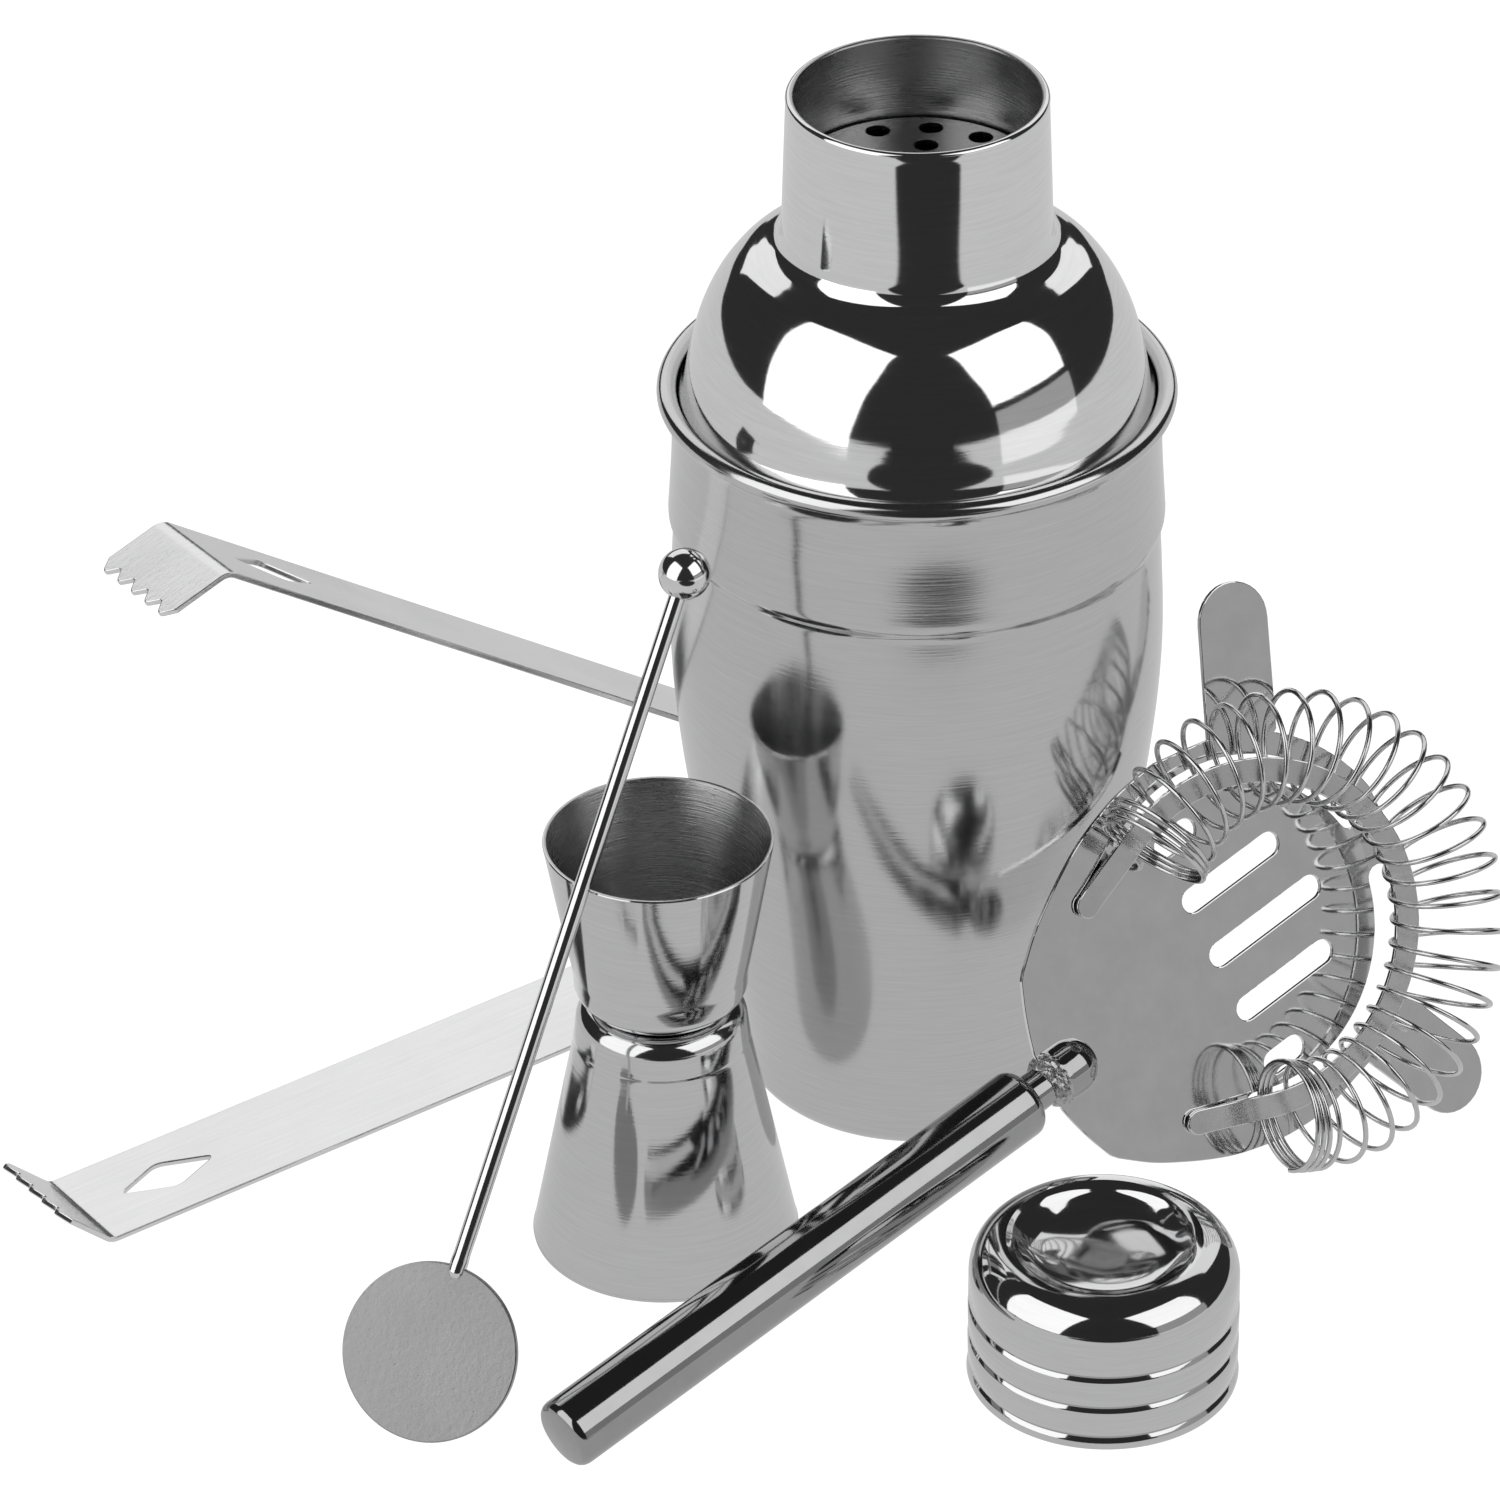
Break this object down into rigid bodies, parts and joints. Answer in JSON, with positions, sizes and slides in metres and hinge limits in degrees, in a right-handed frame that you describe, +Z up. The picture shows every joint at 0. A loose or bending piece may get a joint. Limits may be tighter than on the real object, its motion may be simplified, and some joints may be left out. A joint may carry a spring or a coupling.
{
  "type": "cocktail shaker set",
  "caption": "Steel cocktail set: open shaker with strainer top and loose cap, double jigger, toothed ice tongs, coil-edged strainer with handle and disc stirrer.",
  "frame": {"origin": "centre of the shaker tin's base on the table", "axes": "+Z up along the shaker's axis, -Y towards the viewer, +X to the right"},
  "size_m": [0.2634, 0.2021, 0.194],
  "materials": {
    "tin_steel": "satin",
    "polished_steel": "polished",
    "brushed_steel": "brushed",
    "spring_steel": "polished"
  },
  "bodies": {
    "tin": {"shaker_tin": "tin_steel"},
    "strainer_top": {"strainer_dome": "polished_steel", "sieve_disc": "brushed_steel"},
    "cap": {"cap": "polished_steel"},
    "jigger": {"jigger_small_cup": "polished_steel", "jigger_large_cup": "polished_steel"},
    "stirrer": {"stirrer_disc": "brushed_steel", "stirrer_rod": "polished_steel", "stirrer_ball": "polished_steel"},
    "strainer": {"strainer_plate": "polished_steel", "guide_strip": "polished_steel", "handle_pin": "polished_steel", "handle_tube": "polished_steel", "handle_boss": "brushed_steel"},
    "spring": {"strainer_spring": "spring_steel"},
    "tongs": {"tongs_lower_arm": "polished_steel", "tongs_bow": "polished_steel"},
    "tongs_upper": {"tongs_upper_arm": "polished_steel"}
  },
  "joints": [
    {"name": "strainer_top_lift", "type": "slide", "parent": "tin", "child": "strainer_top", "axis": [0, 0, 1], "range_m": [0, 0.05]},
    {"name": "cap_lift", "type": "slide", "parent": "tin", "child": "cap", "axis": [0, 0, 1], "range_m": [0, 0.03]},
    {"name": "jigger_lift", "type": "slide", "parent": "tin", "child": "jigger", "axis": [0, 0, 1], "range_m": [0, 0.03]},
    {"name": "stirrer_draw", "type": "slide", "parent": "jigger", "child": "stirrer", "axis": [-0.4517, -0.6765, 0.5816], "range_m": [0, 0.03]},
    {"name": "strainer_draw", "type": "slide", "parent": "tin", "child": "strainer", "axis": [0.6019, 0.5009, 0.6219], "range_m": [0, 0.04]},
    {"name": "coil_press", "type": "slide", "parent": "strainer", "child": "spring", "axis": [-0.7654, -0.5895, -0.2582], "range_m": [0, 0.0008], "stiffness_N_per_m": 500},
    {"name": "tongs_draw", "type": "slide", "parent": "tin", "child": "tongs", "axis": [-0.5878, 0.809, 0], "range_m": [0, 0.05]},
    {"name": "tongs_squeeze", "type": "hinge", "parent": "tongs", "child": "tongs_upper", "pos_m": [0.00062, 0.06044, 0.009], "axis": [0.5878, -0.809, 0], "range_deg": [0, 29], "stiffness_Nm_per_rad": 1.5}
  ]
}
